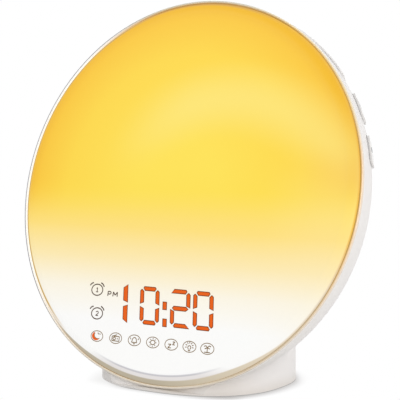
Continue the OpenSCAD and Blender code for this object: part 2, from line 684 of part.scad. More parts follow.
module speaker_grille() color(housing_white) on_face() difference() {
    outer = [for (i = [0:8]) let (r = (grille_r - fit_gap) * i / 8) [r, shell_z(0, r)]];
    inner = [for (i = [6:-1:0]) let (r = (grille_r - 2) * i / 6) [r, shell_z(0, r) + 1.6]];
    rotate_extrude() polygon(concat(outer,
        [[grille_r - fit_gap, land_z], [pocket_r - fit_gap, land_z], [pocket_r - fit_gap, land_z + flange_t],
         [grille_r - 2, land_z + flange_t]], inner));
    translate([0, 0, -shell_depth - 2]) {
        cylinder(r = grille_hole_r, h = 6);
        for (ring = [1:4], i = [0:6 * ring - 1]) rotate(60 * i / ring) translate([ring * grille_pitch, 0, 0])
            cylinder(r = grille_hole_r, h = 8);
    }
}

module ring(r_in, r_out, z, h) translate([0, 0, z]) linear_extrude(h) difference() {
    circle(r = r_out);
    circle(r = r_in);
}

module speaker_gasket() color(rubber_grey) on_face()
    ring(grille_r - 1.5, pocket_r - fit_gap, land_z + flange_t, gasket_t);

module speaker_frame() color(steel) on_face() rotate_extrude() polygon([
    [grille_r - 2.5, speaker_z], [pocket_r - fit_gap, speaker_z], [pocket_r - fit_gap, clamp_z],
    [grille_r - 1.3, clamp_z],
    [basket_r + 1.2, clamp_z + basket_h], [basket_r - 4, clamp_z + basket_h], [basket_r - 4, clamp_z + basket_h - 1],
    [basket_r + 0.4, clamp_z + basket_h - 1]]);

module speaker_cone() color(black_plastic) on_face() rotate_extrude() polygon([
    [0, speaker_z + 2.4], [4, speaker_z + 2.2], [5.5, speaker_z + 3.4], [15.5, speaker_z + 0.3],
    [16.6, speaker_z - 0.3],
    [17.7, speaker_z], [grille_r - 2.6, speaker_z], [grille_r - 3.2, speaker_z + 0.5], [17.4, speaker_z + 0.5],
    [16.6, speaker_z + 0.2], [15.7, speaker_z + 0.8], [5.5, speaker_z + 4], [4, speaker_z + 6], [0, speaker_z + 6]]);

module speaker_magnet() color(steel) on_face() translate([0, 0, clamp_z + basket_h]) {
    cylinder(r = magnet_r, h = magnet_h);
    translate([0, 0, magnet_h]) cylinder(r = magnet_r - 1.5, h = 1);
}

module speaker_clamp() color(black_plastic) on_face() difference() {
    ring(grille_r, speaker_boss_r, clamp_z, clamp_t);
    for (p = speaker_screw_places) translate([p[0], p[1], clamp_z - 1]) cylinder(r = small_screw[0] + 0.15, h = 5);
}

module speaker_screws() color(steel) on_face() for (p = speaker_screw_places)
    translate([p[0], p[1], clamp_z + clamp_t]) screw(small_screw, clamp_t + 3.5);

// ---- Buttons and their switches ----

// Outline of a button, as a prism along the radius at the given angle, grown by g
module key_block(angle, w, g) rotate(angle - 90)
    translate([0, button_mid_r - 14, -(button_front + button_back) / 2]) rotate([-90, 0, 0]) linear_extrude(25)
        rounded(w + 2 * g, button_w + 2 * g, button_corner + g);

// The same for the snooze bar: a zone of the face's rim with a rounded end on each side
module bar_block(g) {
    for (s = [-1, 1]) key_block(90 + s * bar_end_angle, bar_end_w, g);
    rotate(90 - bar_end_angle) rotate_extrude(angle = 2 * bar_end_angle)
        translate([button_mid_r - 12, -button_back - g]) square([22, button_w + 2 * g]);
}

// A hollow button: a crown in the slot, a skirt, and a lip inside the housing
module hollow_button() difference() {
    union() {
        intersection() { children(0); shell_band(button_proud, lip_in); }
        intersection() { children(1); shell_band(lip_out, lip_in); }
    }
    intersection() { children(2); shell_band(button_proud - cap_wall, lip_in - 1); }
}

// A stem from the lip of a button down to its plunger
module stem(row, x) translate([x, row[1] + key_body_h + plunger_out, key_z]) rotate([-90, 0, 0])
    cylinder(r = stem_r, h = sqrt(pow(shell_r(lip_in, key_z), 2) - x * x) - row[1] - key_body_h - plunger_out + 0.6);

module snooze_bar() color(housing_white) on_face() {
    hollow_button() { bar_block(0); bar_block(lip_w); bar_block(-cap_wall); }
    for (x = [-top_keys[2], top_keys[2]]) stem(top_keys, x);
}

module side_button(row, angle, x) color(housing_white) {
    on_face() hollow_button() {
        key_block(angle, side_button_w, 0);
        key_block(angle, side_button_w, lip_w);
        key_block(angle, side_button_w, -cap_wall);
    }
    on_row(row) stem(row, x);
}

module plunger(row, x) color(black_plastic) on_row(row)
    translate([x, row[1] + key_body_h - plunger_in, key_z]) rotate([-90, 0, 0])
        cylinder(r = key_bore_r - plunger_gap, h = plunger_in + plunger_out);

module switches(row) color(steel) on_row(row) for (x = [-row[2], row[2]]) difference() {
    translate([x - key_body / 2, row[1], key_z - key_body / 2]) cube([key_body, key_body_h, key_body]);
    translate([x, row[1] + key_body_h - key_bore_depth, key_z]) rotate([-90, 0, 0])
        cylinder(r = key_bore_r, h = key_bore_depth + 1);
}

module key_board(row) color(board_green) on_row(row) difference() {
    translate([-row[4], row[1] - board_t, key_board_z[0]])
        cube([2 * row[4], board_t, key_board_z[1] - key_board_z[0]]);
    for (x = [-row[3], row[3]]) translate([x, row[1] - 5, key_post_z]) rotate([-90, 0, 0]) screw_hole(small_screw, 10);
}

module key_screws() color(steel) for (row = [top_keys, right_keys, left_keys]) on_row(row)
    for (x = [-row[3], row[3]]) translate([x, row[1] - board_t, key_post_z]) rotate([90, 0, 0])
        screw(small_screw, board_t + 3.6);

module snooze_plunger_left() plunger(top_keys, -top_keys[2]);
module snooze_plunger_right() plunger(top_keys, top_keys[2]);
module snooze_switches() switches(top_keys);
module snooze_board() key_board(top_keys);
module right_upper_button() side_button(right_keys, side_angles[1], -side_key_x);
module right_upper_plunger() plunger(right_keys, -side_key_x);
module right_lower_button() side_button(right_keys, side_angles[0], side_key_x);
module right_lower_plunger() plunger(right_keys, side_key_x);
module right_switches() switches(right_keys);
module right_board() key_board(right_keys);
module left_upper_button() side_button(left_keys, 180 - side_angles[1], side_key_x);
module left_upper_plunger() plunger(left_keys, side_key_x);
module left_lower_button() side_button(left_keys, 180 - side_angles[0], -side_key_x);
module left_lower_plunger() plunger(left_keys, -side_key_x);
module left_switches() switches(left_keys);
module left_board() key_board(left_keys);

// ---- Power and backup cell ----

module power_board() color(board_green) difference() {
    translate([-power_half_w, power_y[0], power_z]) cube([2 * power_half_w, power_y[1] - power_y[0], power_t]);
    for (p = power_posts) translate([p[0], p[1], power_z - 1]) screw_hole(small_screw, 5);
}

module power_screws() color(steel) for (p = power_posts) translate([p[0], p[1], power_z + power_t])
    screw(small_screw, power_t + 4);

module dc_jack() translate([jack_x, jack_face, jack_z]) rotate([-90, 0, 0]) {
    color(black_plastic) difference() {
        union() {
            translate([-jack_size[0] / 2, jack_drop - jack_size[2], -jack_size[1]])
                cube([jack_size[0], jack_size[2], jack_size[1]]);
            cylinder(r = jack_nose_r, h = jack_nose);
        }
        translate([0, 0, jack_nose - jack_bore]) cylinder(r = jack_bore_r, h = jack_bore + 1);
    }
    color(steel) translate([0, 0, jack_nose - jack_bore - 0.5])
        cylinder(r = jack_pin_r, h = jack_bore - jack_pin_back + 0.5);
}

module antenna_grommet() color(rubber_grey) translate([outlet_x, jack_face, jack_z]) rotate([-90, 0, 0]) difference() {
    union() {
        translate([0, 0, -1.6]) cylinder(r = outlet_r + outlet_lip, h = 1.2);
        translate([0, 0, -0.4]) cylinder(r = outlet_r - fit_gap / 2, h = 5.2);
    }
    translate([0, 0, -3]) cylinder(r = outlet_bore_r, h = 10);
}

module battery_door() color(housing_white) difference() {
    union() {
        translate([0, cell_y + (door_tail - door_half) / 2, plate_bottom]) linear_extrude(door_t)
            rounded(2 * door_half, door_half + door_tail, 2);
        translate([0, cell_y, plate_bottom]) cylinder(r = cell_r - 0.4, h = plate_t);
    }
    translate([0, door_screw_y, 0]) cylinder(r = small_screw[0] + 0.15, h = 5);
    translate([0, door_screw_y, 0]) cylinder(r = small_screw[1] + 0.2, h = plate_bottom + 0.75);
}

module door_screw() color(steel) translate([0, door_screw_y, plate_bottom + 0.75]) rotate([180, 0, 0])
    screw([small_screw[0], small_screw[1], 0.7], 3.4);

module cell_holder() color(black_plastic) difference() {
    translate([-holder_half, cell_y - holder_half, spigot_top]) cube([2 * holder_half, 2 * holder_half, holder_h]);
    translate([0, cell_y, spigot_top - 1]) cylinder(r = cell_r + 0.15, h = holder_h);
}

module coin_cell() color(steel) translate([0, cell_y, spigot_top]) {
    cylinder(r = cell_r - 1, h = 0.4);
    translate([0, 0, 0.4]) cylinder(r = cell_r, h = cell_h - 0.4);
}

module cell_contact() color("#C9A24A") translate([0, cell_y, spigot_top + holder_h - 1 - contact_t]) {
    translate([-8, -2.5, 0]) cube([16, 5, contact_t]);
    translate([0, 0, cell_h + 1 + contact_t - holder_h]) cylinder(r = 1.5, h = holder_h - 1 - contact_t - cell_h);
}

front_lens();
bezel_ring();
rear_housing();
base_plate();
rubber_feet();
base_screws();
housing_screws();
reflector();
lamp_board();
lamp_leds();
lamp_screws();
display_frame();
display_board();
digit_module();
digit_segments();
icon_guide();
icon_leds();
face_mask();
display_screws();
main_board();
main_chips();
board_screws();
speaker_grille();
speaker_gasket();
speaker_frame();
speaker_cone();
speaker_magnet();
speaker_clamp();
speaker_screws();
snooze_bar();
snooze_plunger_left();
snooze_plunger_right();
snooze_switches();
snooze_board();
right_upper_button();
right_upper_plunger();
right_lower_button();
right_lower_plunger();
right_switches();
right_board();
left_upper_button();
left_upper_plunger();
left_lower_button();
left_lower_plunger();
left_switches();
left_board();
key_screws();
power_board();
power_screws();
dc_jack();
antenna_grommet();
battery_door();
door_screw();
cell_holder();
coin_cell();
cell_contact();
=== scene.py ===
"""Sunrise alarm clock: materials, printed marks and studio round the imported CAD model. Metres, +Z up."""
import math

import bmesh
import bpy
from mathutils import Matrix, Vector
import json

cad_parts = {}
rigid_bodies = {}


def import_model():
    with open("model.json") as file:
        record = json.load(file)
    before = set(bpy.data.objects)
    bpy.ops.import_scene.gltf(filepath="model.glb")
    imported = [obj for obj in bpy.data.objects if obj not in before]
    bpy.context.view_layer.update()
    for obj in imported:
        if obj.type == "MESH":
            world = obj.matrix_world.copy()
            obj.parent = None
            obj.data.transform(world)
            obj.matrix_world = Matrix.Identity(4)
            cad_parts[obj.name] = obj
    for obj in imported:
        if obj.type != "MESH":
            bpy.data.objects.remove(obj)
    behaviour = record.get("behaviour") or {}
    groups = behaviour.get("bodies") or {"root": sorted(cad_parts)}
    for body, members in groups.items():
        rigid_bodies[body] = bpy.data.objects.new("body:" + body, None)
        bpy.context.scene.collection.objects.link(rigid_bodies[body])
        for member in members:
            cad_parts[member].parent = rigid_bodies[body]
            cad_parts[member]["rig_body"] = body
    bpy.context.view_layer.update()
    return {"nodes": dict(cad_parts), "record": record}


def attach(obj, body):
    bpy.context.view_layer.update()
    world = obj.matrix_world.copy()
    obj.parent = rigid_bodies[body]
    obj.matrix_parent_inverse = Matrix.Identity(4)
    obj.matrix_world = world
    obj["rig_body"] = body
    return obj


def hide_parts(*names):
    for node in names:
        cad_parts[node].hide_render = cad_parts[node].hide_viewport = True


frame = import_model()

MM = 0.001
nodes = frame["nodes"]
slot_of = {s["node"]: s["material_slot"] for s in frame["record"]["subparts"]}

# The face of the clock: its middle, how far it leans back, and the frame in which its marks are drawn
# (x to the right, y up along the face, z out of it, in millimetres, with 0 at the seam of the lens).
LEAN = math.radians(14.25)
FACE_CENTRE = Vector((0.0, -0.014956, 0.0839215))
FACE = (Matrix.Translation(FACE_CENTRE) @ Matrix.Rotation(math.radians(90) - LEAN, 4, "X")
        @ Matrix.Scale(MM, 4))

# The lens: its edge, the sphere that its crown is part of, and how high the crown stands over the seam
LENS_R = 84.0
CROWN_R = 1734.5
CROWN_TOP = 4.2717

# The rounded back: its radius at the rim, its depth and how full it is
RIM_R, SHELL_DEPTH, SHELL_POWER = 85.3, 50.0, 2.2


def shell_r(z, lift=0.0):
    """Radius of the rounded back, grown by lift, at depth z behind the seam, in millimetres."""
    return (RIM_R + lift) * (1 - (abs(z) / (SHELL_DEPTH + lift)) ** SHELL_POWER) ** (1 / SHELL_POWER)


def crown(x, y):
    """Height of the lens's outer surface over the seam, in millimetres."""
    return CROWN_TOP - CROWN_R + math.sqrt(CROWN_R ** 2 - x * x - y * y)


def placed(name, data):
    """A new object that holds this data, in the scene."""
    obj = bpy.data.objects.new(name, data)
    bpy.context.scene.collection.objects.link(obj)
    return obj


def give(obj, material):
    """Makes this the object's only material."""
    obj.data.materials.clear()
    obj.data.materials.append(material)


# ---- Shader nodes ----

def linear(code):
    """Linear RGBA of an sRGB hex value."""
    values = [int(code[i:i + 2], 16) / 255 for i in (1, 3, 5)]
    return [v / 12.92 if v <= 0.04045 else ((v + 0.055) / 1.055) ** 2.4 for v in values] + [1.0]


def add(tree, kind, links=(), **settings):
    """Adds a node. Settings name its properties or, as in_NAME or in_NUMBER, its inputs."""
    n = tree.nodes.new(kind)
    for key, value in settings.items():
        if key.startswith("in_"):
            name = key[3:]
            n.inputs[int(name) if name.isdigit() else name.replace("_", " ")].default_value = value
        else:
            setattr(n, key, value)
    for source, target in links:
        tree.links.new(source, n.inputs[target])
    return n


def feed(tree, n, socket, value):
    """Gives a node's input an output, a number or a colour, which may be a hex value."""
    if isinstance(value, bpy.types.NodeSocket):
        tree.links.new(value, n.inputs[socket])
    else:
        n.inputs[socket].default_value = linear(value) if isinstance(value, str) else value


def ramp(tree, factor, stops, kind="LINEAR"):
    """A colour ramp over factor. A stop is (position, hex or grey level)."""
    n = add(tree, "ShaderNodeValToRGB", [(factor, 0)])
    n.color_ramp.interpolation = kind
    points = n.color_ramp.elements
    while len(points) < len(stops):
        points.new(0.5)
    for point, (place, value) in zip(points, stops):
        point.position = place
        point.color = linear(value) if isinstance(value, str) else (value, value, value, 1)
    return n.outputs[0]


def span(tree, value, low_mm, high_mm, to=(0, 1), smooth=False):
    """The first number of to at low_mm and the second at high_mm."""
    kind = "SMOOTHSTEP" if smooth else "LINEAR"
    n = add(tree, "ShaderNodeMapRange", [(value, "Value")], interpolation_type=kind,
            in_From_Min=low_mm * MM, in_From_Max=high_mm * MM, in_To_Min=to[0], in_To_Max=to[1])
    return n.outputs[0]


def ease(tree, value, low_mm, high_mm):
    """0 at low_mm and 1 at high_mm, with soft ends."""
    return span(tree, value, low_mm, high_mm, smooth=True)


def blend(tree, factor, a, b, mode="MIX"):
    """Mixes two colours, each an output, a hex value or linear RGBA."""
    n = add(tree, "ShaderNodeMix", data_type="RGBA", blend_type=mode)
    for value, socket in ((factor, 0), (a, 6), (b, 7)):
        feed(tree, n, socket, value)
    return n.outputs[2]


def maths(tree, operation, a, b):
    """Joins two number outputs, or an output and a number."""
    n = add(tree, "ShaderNodeMath", [(a, 0)], operation=operation)
    feed(tree, n, 1, b)
    return n.outputs[0]


def product(tree, first, *others):
    """Multiplies a number output by outputs or numbers."""
    for other in others:
        first = maths(tree, "MULTIPLY", first, other)
    return first


def new_material(name, colour, roughness, **inputs):
    """A Principled material; returns its tree and shader."""
    m = bpy.data.materials.new(name)
    m.use_nodes = True
    m.diffuse_color = linear(colour)
    shader = m.node_tree.nodes["Principled BSDF"]
    shader.inputs["Base Color"].default_value = linear(colour)
    shader.inputs["Roughness"].default_value = roughness
    for key, value in inputs.items():
        shader.inputs[key.replace("_", " ")].default_value = value
    return m, m.node_tree, shader


def bumpy(tree, shader, place, grain_mm, depth_mm):
    """Gives the shader fine bumps."""
    grain = add(tree, "ShaderNodeTexNoise", [(place, "Vector")], in_Scale=1 / (grain_mm * MM), in_Detail=2.0)
    bump = add(tree, "ShaderNodeBump", [(grain.outputs["Fac"], "Height")],
               in_Distance=depth_mm * MM, in_Strength=1.0)
    tree.links.new(bump.outputs[0], shader.inputs["Normal"])


# ---- Moulded and cast materials ----

# Size of the slow changes of tone, and how far the painted shade of the nook under the ring reaches
CLOUD_MM, NOOK_MM = 18, 9
# Painted shade: tints by how open the surface is, from shut to free, in a gap between two pieces and in a
# nook
GAP_SHADE_STOPS = [(0.28, "#303038"), (0.45, "#84848C"), (0.56, "#FFFFFF")]
NOOK_SHADE_STOPS = [(0.10, "#F0ECE5"), (0.26, "#DEDAD4"), (0.52, "#F2EFEB"), (0.85, "#FFFFFF")]


def painted_shade(tree, tint, reach_mm, stops):
    """Painted shade: the tint times a ramp over how open the surface is within reach_mm."""
    sky = add(tree, "ShaderNodeAmbientOcclusion", samples=16, in_Distance=reach_mm * MM).outputs["AO"]
    return blend(tree, 1.0, tint, ramp(tree, sky, stops), "MULTIPLY")


def grained(name, colour, roughness, grain_mm, depth_mm, tone=0.02, spread=0.06, crease_mm=0, **inputs):
    """A moulded or cast surface: fine bumps of grain_mm, a slow change of tone, and roughness that varies.
    With crease_mm, shade is painted: gaps narrower than that go grey and sheltered nooks go warm, as light
    dies in them."""
    m, tree, shader = new_material(name, colour, roughness, **inputs)
    place = add(tree, "ShaderNodeTexCoord").outputs["Object"]
    bumpy(tree, shader, place, grain_mm, depth_mm)
    cloud = add(tree, "ShaderNodeTexNoise", [(place, "Vector")], in_Scale=1 / (CLOUD_MM * MM), in_Detail=3.0)
    base = linear(colour)[:3]
    dark, light = [[min(1, c * (1 + change)) for c in base] + [1] for change in (-tone, tone)]
    tint = blend(tree, cloud.outputs["Fac"], dark, light)
    if crease_mm:
        split = add(tree, "ShaderNodeSeparateXYZ", [(place, 0)])
        x, height = split.outputs[0], split.outputs[2]
        # Painted shade in the gaps, which lie above the foot
        tint = blend(tree, span(tree, height, 30, 40), tint, painted_shade(tree, tint, crease_mm, GAP_SHADE_STOPS))
        # Painted shade in the nook, low down under the ring, on its right half only, as the left-hand lamp
        # reaches into its left half
        nook_shade = product(tree, span(tree, height, 40, 20), span(tree, x, -12, 8))
        tint = blend(tree, nook_shade, tint, painted_shade(tree, tint, NOOK_MM, NOOK_SHADE_STOPS))
    tree.links.new(tint, shader.inputs["Base Color"])
    rough = add(tree, "ShaderNodeMapRange", [(cloud.outputs["Fac"], "Value")],
                in_To_Min=max(0, roughness - spread), in_To_Max=min(1, roughness + spread))
    tree.links.new(rough.outputs[0], shader.inputs["Roughness"])
    return m


# Spark-eroded ABS: satin, with a fine even grain that takes the shine off
white_abs = grained("satin white ABS", "#F5F2F0", 0.42, 0.5, 0.004, tone=0.008, crease_mm=1.0)
# The keys are the same plastic, polished by fingers: a little shinier
key_abs = grained("polished white ABS", "#F5F3F1", 0.30, 0.6, 0.003, tone=0.008, crease_mm=0.8)
# Bright white ABS of the lamp's dish: half matt, so that it spreads the light
inner_abs = grained("reflector white ABS", "#FAFAF6", 0.50, 0.8, 0.006, tone=0.01)
# Black ABS: dark grey with a soft shine
black_abs = grained("black ABS", "#2B2B2D", 0.45, 0.5, 0.010, tone=0.08)
# Moulded rubber: dull, dusty in its grain
rubber = grained("moulded rubber", "#6A6A6B", 0.82, 0.35, 0.020, tone=0.08)
# FR4 laminate: green solder mask with a weave just visible in its shine
laminate = grained("green solder mask", "#2B6748", 0.28, 1.6, 0.012, tone=0.10, spread=0.10)
# Phosphor cast over a lamp chip: a pale yellow that glows faintly
phosphor = grained("lamp phosphor", "#FFF1B8", 0.55, 0.3, 0.010, tone=0.05, Emission_Strength=0.4,
                   Emission_Color=linear("#FFE08A"))
# Zinc-plated steel: bright, with a rolled grain
zinc_steel = grained("zinc-plated steel", "#B8BBC0", 0.32, 0.25, 0.004, tone=0.06, Metallic=1.0)
# Spring brass: yellow metal, clean and bright
spring_brass = grained("spring brass", "#C9A24A", 0.30, 0.4, 0.004, tone=0.06, Metallic=1.0)
# Diffused epoxy, lit: a clear orange that fills each segment evenly
lit_epoxy = grained("lit orange epoxy", "#A0400A", 0.5, 0.8, 0.004, tone=0.03, Emission_Strength=0.63,
                    Emission_Color=linear("#E8600C"), Specular_IOR_Level=0.2)
# Screen-printed ink on the lens: thin and matt, darker in the alarm icons than in the small icons
ink = grained("grey-brown screen ink", "#5C4A3B", 0.55, 0.2, 0.004, tone=0.10)
fine_ink = grained("fine brown screen ink", "#8E744E", 0.55, 0.2, 0.004, tone=0.10)
# The mask's edge round a lit window, which the light turns brown
window_ink = grained("brown edge of a window in the ink", "#8C4614", 0.55, 0.2, 0.004, tone=0.10,
                     Specular_IOR_Level=0.15)
# Pad-printed ink on the keys: grey, half matt
key_ink = grained("pad-printed grey ink", "#77777B", 0.50, 0.2, 0.003, tone=0.06)


# ---- The lens and its ring ----

def face_place(tree):
    """Place on the face in metres: x, y up along the face, the distance from its middle, and (x, y)."""
    turn = Matrix.Rotation(LEAN - math.radians(90), 3, "X")
    place = add(tree, "ShaderNodeTexCoord").outputs["Object"]
    mapped = add(tree, "ShaderNodeMapping", [(place, "Vector")], in_Location=-(turn @ FACE_CENTRE),
                 in_Rotation=(LEAN - math.radians(90), 0, 0))
    split = add(tree, "ShaderNodeSeparateXYZ", [(mapped.outputs[0], 0)])
    flat = add(tree, "ShaderNodeCombineXYZ", [(split.outputs[0], 0), (split.outputs[1], 1)])
    far = add(tree, "ShaderNodeVectorMath", [(flat.outputs[0], 0)], operation="LENGTH")
    return split.outputs[0], split.outputs[1], far.outputs["Value"], flat.outputs[0]


# The glow of the lens, in millimetres on the face. The dawn runs from white to yellow between two heights,
# and reaches lower on the left by a share of x.
DAWN_LOW, DAWN_HIGH = -64, 0
DAWN_TILT = -0.07
# The warm colours start this far from the middle
WARM_INNER_R = 20
# A painted highlight, a pale arc, lies in a band round a point to the right and below, which is in metres
ARC_CENTRE = (0.022, -0.030, 0)
ARC_INNER_R, ARC_OUTER_R = 50, 90
# The painted shade band at the edge: where it starts at the sides, how much sooner at the bottom, and how
# soft it is
SHADE_BAND_START, SHADE_BAND_SOONER, SHADE_BAND_SOFT = 83.3, 1.6, 0.5


def lens_light(tree, x, y, far, flat):
    """Light of the lamps behind the lens."""
    low = maths(tree, "ADD", y, product(tree, x, DAWN_TILT))
    dawn = ramp(tree, span(tree, y, DAWN_LOW, DAWN_HIGH), [
        (0.08, "#FDFDFC"), (0.30, "#FDF7E6"), (0.50, "#FEEBB4"), (0.72, "#FFE17E"), (1.0, "#FEE051")])
    warm = ramp(tree, span(tree, far, WARM_INNER_R, LENS_R), [
        (0.0, "#FFE355"), (0.62, "#FED948"), (0.88, "#FBCA3B"), (0.965, "#F4BE34"), (1.0, "#EEB838")])
    glow = blend(tree, ease(tree, low, -16, 10), dawn, warm)
    # Painted highlight: a pale arc where the light of the upper lamps meets the crown
    away = add(tree, "ShaderNodeVectorMath", [(flat, 0)], operation="DISTANCE", in_1=ARC_CENTRE)
    across = span(tree, away.outputs["Value"], ARC_INNER_R, ARC_OUTER_R)
    arc_highlight = ramp(tree, across, [(0.0, 0.0), (0.5, 1.0), (1.0, 0.0)], "EASE")
    arc_highlight = product(tree, arc_highlight, ease(tree, x, -45, 5), ease(tree, y, 0, 24), 0.60)
    glow = blend(tree, arc_highlight, glow, "#FEEA85")
    # The right-hand side is a little paler, where the crown turns from its lamps
    right = product(tree, ease(tree, x, 38, 76), ease(tree, y, 24, -4), 0.13)
    return blend(tree, right, glow, "#FFF1C8")


def lens_edge(tree, glow, x, y, far):
    """The glow with the rolled edge of the lens drawn over it in painted shade and light. The edge gets no
    light from behind, and its shading by the lamps outside is painted too.
    """
    # Painted shading where the roll starts under the display: a thin grey line, then a pale zone
    roll_start_shading = ramp(tree, span(tree, far, 79, 81), [
        (0.2, "#FCFCFC"), (0.48, "#C6C5CA"), (0.62, "#C9C7CB"), (0.8, "#E8E4E3")])
    glow = blend(tree, product(tree, span(tree, y, -73, -78), span(tree, far, 79, 79.3)), glow, roll_start_shading)
    # Painted shade: a beige band, wide at the bottom where the roll faces down, and hair-thin at the sides
    bottom = ease(tree, y, -60, -78)
    start = maths(tree, "ADD", product(tree, bottom, -SHADE_BAND_SOONER * MM), SHADE_BAND_START * MM)
    stop = maths(tree, "ADD", start, SHADE_BAND_SOFT * MM)
    shade_band = add(tree, "ShaderNodeMapRange", [(far, "Value"), (start, "From Min"), (stop, "From Max")])
    under = blend(tree, span(tree, x, 0, 60), "#BDB39E", "#EADDC6")
    side_shade = blend(tree, ease(tree, x, 0, 50), "#DDB764", "#F3C458")
    glow = blend(tree, shade_band.outputs[0], glow, blend(tree, ease(tree, y, -12, -44), side_shade, under))
    # On the left the roll is turned to the light: a tan line where it starts, then nearly white
    roll = ramp(tree, span(tree, far, 82, LENS_R), [
        (0.0, "#E6BE5E"), (0.24, "#C9A356"), (0.48, "#BD9A54"), (0.60, "#D6B97F"), (0.74, "#F2E5CB"),
        (0.82, "#FFFDF8")])
    left = product(tree, ease(tree, x, -20, -50), span(tree, y, -66, -54), span(tree, far, 81.7, 82.4))
    glow = blend(tree, left, glow, roll)
    # At the top the roll is in its own shade
    top = product(tree, span(tree, y, 55, 78), span(tree, x, 45, 15), span(tree, far, 82.6, 83.6))
    return blend(tree, top, glow, "#D3A65C")


def opal_lens():
    """Opal polycarbonate, moulded, lit from behind by warm lamps: it glows yellow and turns white over the
    display. The light is fullest in the middle, warmer towards the rim, and dies in the rolled edge, whose
    shade is painted in its colour."""
    m, tree, shader = new_material("opal polycarbonate", "#FBE3A0", 0.40, IOR=1.5, Emission_Strength=0.745)
    x, y, far, flat = face_place(tree)
    glow = lens_edge(tree, lens_light(tree, x, y, far, flat), x, y, far)
    tree.links.new(glow, shader.inputs["Emission Color"])
    # Its body has the same colour, much darker, as most of the light goes through
    tree.links.new(blend(tree, 0.72, glow, "#000000"), shader.inputs["Base Color"])
    tree.links.new(span(tree, far, 79, 82.5, to=(0.25, 0.12)), shader.inputs["Specular IOR Level"])
    bumpy(tree, shader, flat, 0.4, 0.003)
    return m


# In millimetres from the middle of the face: where the ring's colours start, and how far light leaks into it
RING_INNER_R, LEAK_R = 84.1, 84.52


def lit_trim():
    """Lacquered trim: a clear coat over cream, with a sharp shine. Its colour round the face is painted
    light and shade: its inner edge takes the glow of the lens beside it and the dark of the seam, and on the
    left its outer part is a grey painted shade."""
    m, tree, shader = new_material("lacquered cream trim", "#FBF2E2", 0.22, Coat_Weight=0.5,
                                   Coat_Roughness=0.08, Emission_Strength=0.22)
    x, y, far, _ = face_place(tree)
    across = span(tree, far, RING_INNER_R, RIM_R)
    # Painted light and shade by place round the ring: the lens's glow and the dark seam at the inner edge,
    # and a grey shade on the left
    warm = ramp(tree, across, [
        (0.0, "#D2A446"), (0.38, "#C39643"), (0.58, "#F0C47E"), (0.85, "#F8DAB0"), (1.0, "#F8E4CE")])
    soft = ramp(tree, across, [
        (0.0, "#E4BA5C"), (0.38, "#E0B968"), (0.58, "#F2D08C"), (0.85, "#F3DDB0"), (1.0, "#F5E8CC")])
    upper = ramp(tree, across, [(0.0, "#E0C48E"), (0.30, "#E4D0A8"), (0.65, "#DAD2BC"), (1.0, "#DCD8CC")])
    left_lit_and_shaded = ramp(tree, across, [
        (0.0, "#FFFBF2"), (0.36, "#FFFFFF"), (0.46, "#8E8F96"), (0.84, "#8E8F96"), (0.93, "#EDEBE9")])
    plain = ramp(tree, across, [(0.0, "#C6A272"), (0.16, "#E4D2B4"), (0.45, "#F2E6D2"), (0.8, "#F4EDE3")])
    olive = ramp(tree, across, [
        (0.0, "#C4A67A"), (0.38, "#CBB48E"), (0.60, "#E3CEAC"), (0.85, "#EFDDC2"), (1.0, "#F2E6D6")])
    right = blend(tree, ease(tree, y, 15, 40), warm, soft)
    right = blend(tree, ease(tree, x, 50, 15), right, upper)
    leftwards = ease(tree, x, -20, -60)
    sides = blend(tree, leftwards, right, left_lit_and_shaded)
    under = blend(tree, ease(tree, x, 10, 50), plain, olive)
    low = product(tree, ease(tree, y, -20, -60), span(tree, x, -75, -50))
    tree.links.new(blend(tree, low, sides, under), shader.inputs["Base Color"])
    # The lens's light leaks into the inner half on the left, where the roll is brightest
    leak = product(tree, leftwards, span(tree, far, LEAK_R + 0.1, LEAK_R))
    tree.links.new(blend(tree, leak, "#000000", "#FFFFFF"), shader.inputs["Emission Color"])
    return m


FINISH = {
    "housing_plastic": white_abs, "ring_plastic": lit_trim(), "inner_white": inner_abs,
    "black_plastic": black_abs, "lit_segment": lit_epoxy, "circuit_board": laminate, "lamp_chip": phosphor,
    "screw_steel": zinc_steel, "contact_brass": spring_brass, "rubber": rubber, "lens_plastic": opal_lens()}

for name, obj in nodes.items():
    finish = FINISH[slot_of[name]]
    if not obj.material_slots:
        obj.data.materials.append(finish)
    for s in obj.material_slots:
        s.material = finish


# ---- CAD pieces that show, merged so that their curves shade smoothly ----

# Corners sharper than this stay crisp, and a key's corners sharper than the second are rounded
CRISP_ANGLE, ROUNDED_ANGLE = math.radians(32), math.radians(40)
# Points nearer than this are one, and edges shorter than the second go, in metres
WELD, SLIVER = 2e-6, 1e-7
KEY_EDGE_MM = 0.35


def smooth_copy(name, material=None, edge_mm=0):
    """A merged copy of a CAD node with its curves shaded smooth and its corners kept crisp."""
    mesh = nodes[name].data.copy()
    bm = bmesh.new()
    bm.from_mesh(mesh)
    bmesh.ops.remove_doubles(bm, verts=bm.verts, dist=WELD)
    bmesh.ops.dissolve_degenerate(bm, edges=bm.edges, dist=SLIVER)
    for f in bm.faces:
        f.smooth = True
    for e in bm.edges:
        e.smooth = len(e.link_faces) == 2 and e.calc_face_angle(0) < CRISP_ANGLE
    bm.to_mesh(mesh)
    bm.free()
    obj = placed(name + "_shell", mesh)
    give(obj, material or FINISH[slot_of[name]])
    if edge_mm:
        edge = obj.modifiers.new("edge", "BEVEL")
        edge.width, edge.segments = edge_mm * MM, 2
        edge.limit_method, edge.angle_limit = "ANGLE", ROUNDED_ANGLE
    soft = obj.modifiers.new("even shading", "WEIGHTED_NORMAL")
    soft.keep_sharp = True
    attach(obj, nodes[name]["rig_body"])
    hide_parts(name)


for name in ("front_lens", "bezel_ring", "rear_housing", "base_plate", "speaker_grille"):
    smooth_copy(name)
for name in ("snooze_bar", "right_upper_button", "right_lower_button", "left_upper_button",
             "left_lower_button"):
    smooth_copy(name, material=key_abs, edge_mm=KEY_EDGE_MM)


